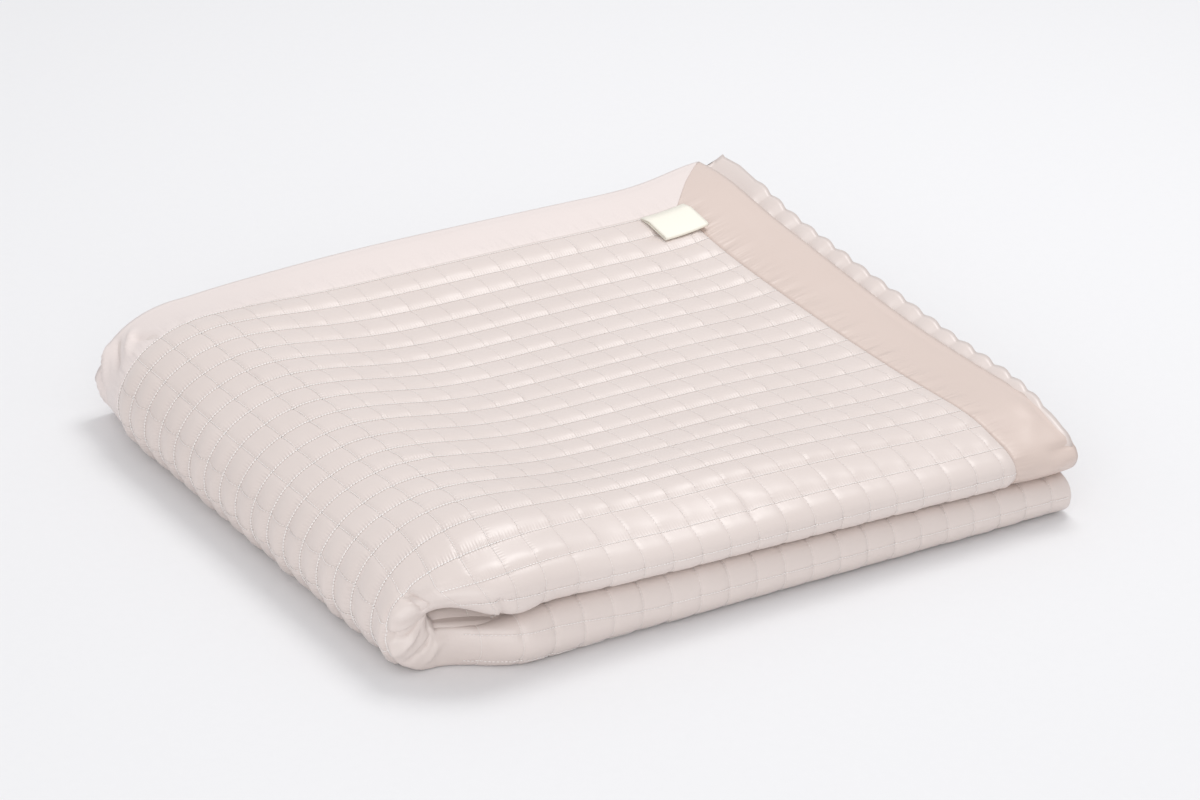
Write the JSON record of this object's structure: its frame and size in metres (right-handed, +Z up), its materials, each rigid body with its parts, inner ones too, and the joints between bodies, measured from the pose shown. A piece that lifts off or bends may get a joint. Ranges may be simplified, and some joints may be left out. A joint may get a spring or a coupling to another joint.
{
  "type": "folded quilted bedspread",
  "caption": "A cream quilted bedspread with a plain satin border, folded into a soft flat packet of sixteen layers.",
  "frame": {"origin": "on the resting plane, under the middle of the packet's box", "axes": "+X along the long front edge from the rounded left fold to the open right end, +Y from the rolled front to the open back edge, +Z up"},
  "size_m": [0.6317, 0.5498, 0.1121],
  "materials": {
    "quilted_satin": "satin",
    "band_satin": "satin",
    "label_ribbon": "matt"
  },
  "bodies": {
    "root": {"quilted_panel": "quilted_satin", "band_back_edge": "band_satin", "band_front_edge": "band_satin", "band_top_end": "band_satin", "band_under_end": "band_satin", "label": "label_ribbon"}
  },
  "joints": []
}
